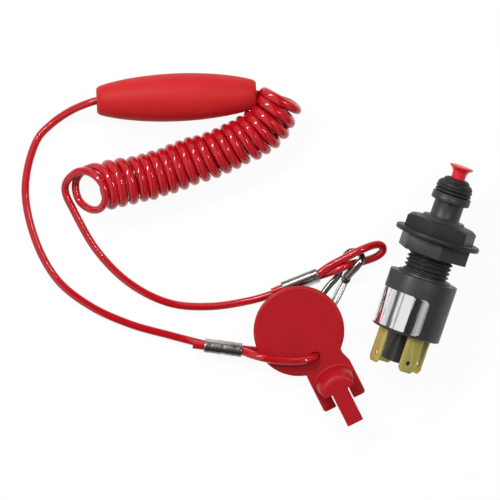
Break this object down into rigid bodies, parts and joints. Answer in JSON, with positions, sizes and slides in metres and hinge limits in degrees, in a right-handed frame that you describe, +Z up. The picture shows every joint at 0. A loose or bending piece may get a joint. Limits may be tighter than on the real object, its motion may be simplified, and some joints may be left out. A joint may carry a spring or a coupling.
{
  "type": "engine_cut_off_switch",
  "caption": "Pull-to-run engine cut-off switch with threaded stem, nuts and blade terminals, its fork key, coiled lanyard, float, crimp sleeves and snap hook",
  "frame": {"origin": "middle of the box round the switch and its key, on the surface they lie on", "axes": "+X right in the picture, +Y towards the top of the picture (the switch's button end), +Z up from the surface"},
  "size_m": [0.1556, 0.1204, 0.0296],
  "materials": {
    "black_plastic": "satin",
    "grey_plastic": "satin",
    "black_rubber": "matte",
    "foil": "polished",
    "brass": "satin",
    "steel": "satin",
    "red_button": "satin",
    "red_moulding": "satin",
    "red_cord": "gloss",
    "red_foam": "matte",
    "nickel": "polished",
    "crimp_metal": "dull"
  },
  "bodies": {
    "switch": {"housing": "black_plastic", "label": "foil", "terminal_base": "black_plastic", "terminal_1": "brass", "terminal_2": "brass", "terminal_3": "brass", "terminal_4": "brass", "return_spring": "steel", "boot": "black_rubber", "key": "red_moulding", "cord_key_side": "red_cord", "cord_coil": "red_cord", "cord_hook_side": "red_cord", "float": "red_foam", "ferrule_key": "crimp_metal", "ferrule_hook": "crimp_metal", "hook_body": "nickel", "gate_pin": "steel"},
    "actuator": {"button": "red_button", "plunger": "black_plastic", "contact_bridge_1": "brass", "contact_bridge_2": "brass"},
    "flange_nut": {"front_nut": "grey_plastic"},
    "lock_nut": {"rear_nut": "grey_plastic"},
    "gate": {"hook_gate": "nickel"}
  },
  "joints": [
    {"name": "button_pull", "type": "slide", "parent": "switch", "child": "actuator", "axis": [0.3211, 0.9431, 0.0865], "range_m": [0, 0.0025], "stiffness_N_per_m": 600, "springref_m": -0.004, "deforming": ["return_spring"]},
    {"name": "front_nut_turn", "type": "hinge", "parent": "switch", "child": "flange_nut", "pos_m": [0.02497, 0.02138, 0.01497], "axis": [0.3211, 0.9431, 0.0865], "continuous": true},
    {"name": "rear_nut_turn", "type": "hinge", "parent": "switch", "child": "lock_nut", "pos_m": [0.02307, 0.01582, 0.01446], "axis": [0.3211, 0.9431, 0.0865], "continuous": true},
    {"name": "gate_swing", "type": "hinge", "parent": "switch", "child": "gate", "pos_m": [-0.00695, 0.00526, 0.0014], "axis": [0, 0, -1], "range_deg": [0, 15], "stiffness_Nm_per_rad": 0.02, "springref_deg": -17.19}
  ]
}
